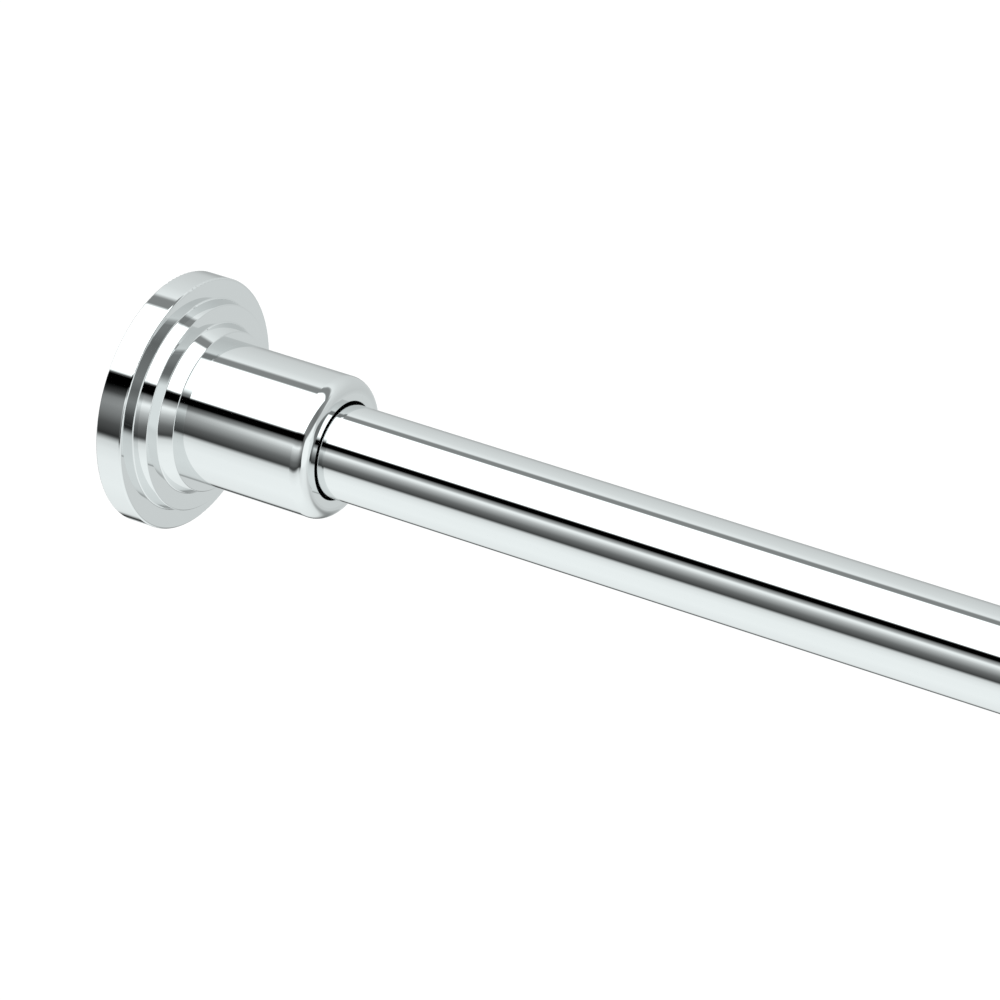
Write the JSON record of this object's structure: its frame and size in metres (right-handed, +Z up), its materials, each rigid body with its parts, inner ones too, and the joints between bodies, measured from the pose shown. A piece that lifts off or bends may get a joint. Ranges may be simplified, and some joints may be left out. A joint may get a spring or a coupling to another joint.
{
  "type": "shower curtain rod",
  "caption": "Straight wall-to-wall shower curtain rod: a chromed telescoping tube held in sockets on wall plates, with stepped round covers that slide along the tube to hide them.",
  "frame": {"origin": "centre of the left wall plate's back face, on the rod's axis", "axes": "+X along the rod from the left wall to the right wall, +Z up, +Y to the back"},
  "size_m": [1.524, 0.0684, 0.0684],
  "materials": {
    "cover_chrome": "mirror polished chrome",
    "tube_chrome": "mirror polished chrome",
    "sleeve_chrome": "polished chrome",
    "black_nylon": "moulded nylon",
    "zinc_plate": "zinc plated steel",
    "cast_zinc": "turned zinc casting",
    "screw_steel": "dark steel",
    "rivet_steel": "bright steel"
  },
  "bodies": {
    "left_end": {"left_wall_plate": "zinc_plate", "left_socket": "cast_zinc", "left_socket_screw": "screw_steel", "left_tube": "tube_chrome", "tube_collar": "black_nylon"},
    "right_end": {"right_tube": "tube_chrome", "connector_sleeve": "sleeve_chrome", "sleeve_glide": "black_nylon", "sleeve_bush": "black_nylon", "sleeve_rivets": "rivet_steel", "right_socket": "cast_zinc", "right_wall_plate": "zinc_plate", "right_socket_screw": "screw_steel"},
    "left_cover": {"left_cover": "cover_chrome", "left_guide_ring": "black_nylon"},
    "right_cover": {"right_cover": "cover_chrome", "right_guide_ring": "black_nylon"},
    "left_rod_screw": {"left_rod_screw": "screw_steel"},
    "right_rod_screw": {"right_rod_screw": "screw_steel"},
    "left_cover_screw": {"left_cover_screw": "screw_steel"},
    "right_cover_screw": {"right_cover_screw": "screw_steel"}
  },
  "joints": [
    {"name": "telescope", "type": "slide", "parent": "left_end", "child": "right_end", "axis": [1, 0, 0], "range_m": [0, 0.305]},
    {"name": "left_cover_slide", "type": "slide", "parent": "left_end", "child": "left_cover", "axis": [1, 0, 0], "range_m": [0, 0.7]},
    {"name": "left_rod_screw_back_out", "type": "slide", "parent": "left_end", "child": "left_rod_screw", "axis": [0, 0, -1], "range_m": [0, 0.0008]},
    {"name": "left_cover_screw_back_out", "type": "slide", "parent": "left_cover", "child": "left_cover_screw", "axis": [0, 0, -1], "range_m": [0, 0.002]},
    {"name": "right_cover_slide", "type": "slide", "parent": "right_end", "child": "right_cover", "axis": [-1, 0, 0], "range_m": [0, 0.7]},
    {"name": "right_rod_screw_back_out", "type": "slide", "parent": "right_end", "child": "right_rod_screw", "axis": [0, 0, -1], "range_m": [0, 0.0008]},
    {"name": "right_cover_screw_back_out", "type": "slide", "parent": "right_cover", "child": "right_cover_screw", "axis": [0, 0, -1], "range_m": [0, 0.002]}
  ]
}
